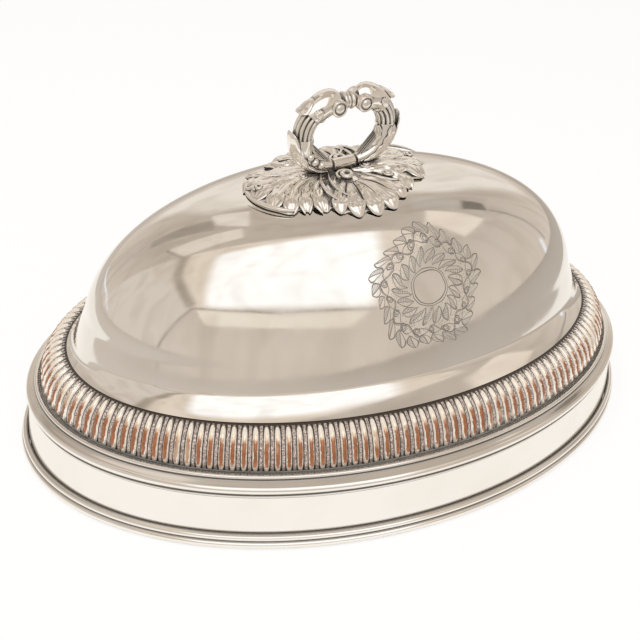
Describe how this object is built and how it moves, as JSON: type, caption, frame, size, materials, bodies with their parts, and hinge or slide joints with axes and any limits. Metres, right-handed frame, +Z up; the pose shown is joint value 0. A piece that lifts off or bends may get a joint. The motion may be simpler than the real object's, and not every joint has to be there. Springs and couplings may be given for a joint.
{
  "type": "meat dish cover",
  "caption": "Oval domed metal dish cover with a fluted shoulder band, plain skirt, reeded foot, leafy mount and scrolled ring handle held by a wing nut inside.",
  "frame": {"origin": "middle of the foot, in the plane that the cover stands on", "axes": "+Z up along the height, +X along the long side of the oval, +Y along its short side"},
  "size_m": [0.56, 0.372, 0.2958],
  "materials": {
    "polished_silver": "silver plate on copper, hand polished, mirror bright with fine wear scratches",
    "worn_silver": "silver plate worn through to pink copper on the flutes, dark in the grooves",
    "cast_silver": "cast and chased silver plate, bright on the high places and dark in the hollows",
    "tinned_metal": "dull tinned sheet and wire",
    "yellow_metal": "plain brass, dulled by age"
  },
  "bodies": {
    "cover": {"dome": "polished_silver", "milled_bead": "polished_silver", "shoulder_moulding": "polished_silver", "skirt": "polished_silver", "foot_moulding": "polished_silver", "fluted_band": "worn_silver", "handle_mount": "cast_silver", "handle_arm_right": "cast_silver", "handle_arm_left": "cast_silver", "leaf_sheath_right": "cast_silver", "leaf_sheath_left": "cast_silver", "scroll_cap_right": "cast_silver", "scroll_cap_left": "cast_silver", "top_collar": "cast_silver", "handle_sleeve": "cast_silver", "foot_wire": "tinned_metal", "backing_plate": "tinned_metal", "threaded_stud": "yellow_metal"},
    "washer": {"washer": "yellow_metal"},
    "wing_nut": {"wing_nut": "yellow_metal"}
  },
  "joints": [
    {"name": "wing_nut_turn", "type": "hinge", "parent": "washer", "child": "wing_nut", "pos_m": [-0.0047, 0, 0.2135], "axis": [0, 0, 1], "range_deg": [0, 3240]},
    {"name": "washer_drop", "type": "slide", "parent": "cover", "child": "washer", "axis": [0, 0, -1], "range_m": [0, 0.00953]}
  ],
  "couplings": [
    {"joint": "wing_nut_turn", "follows": "washer_drop", "rad_per_m": 5927.5}
  ]
}
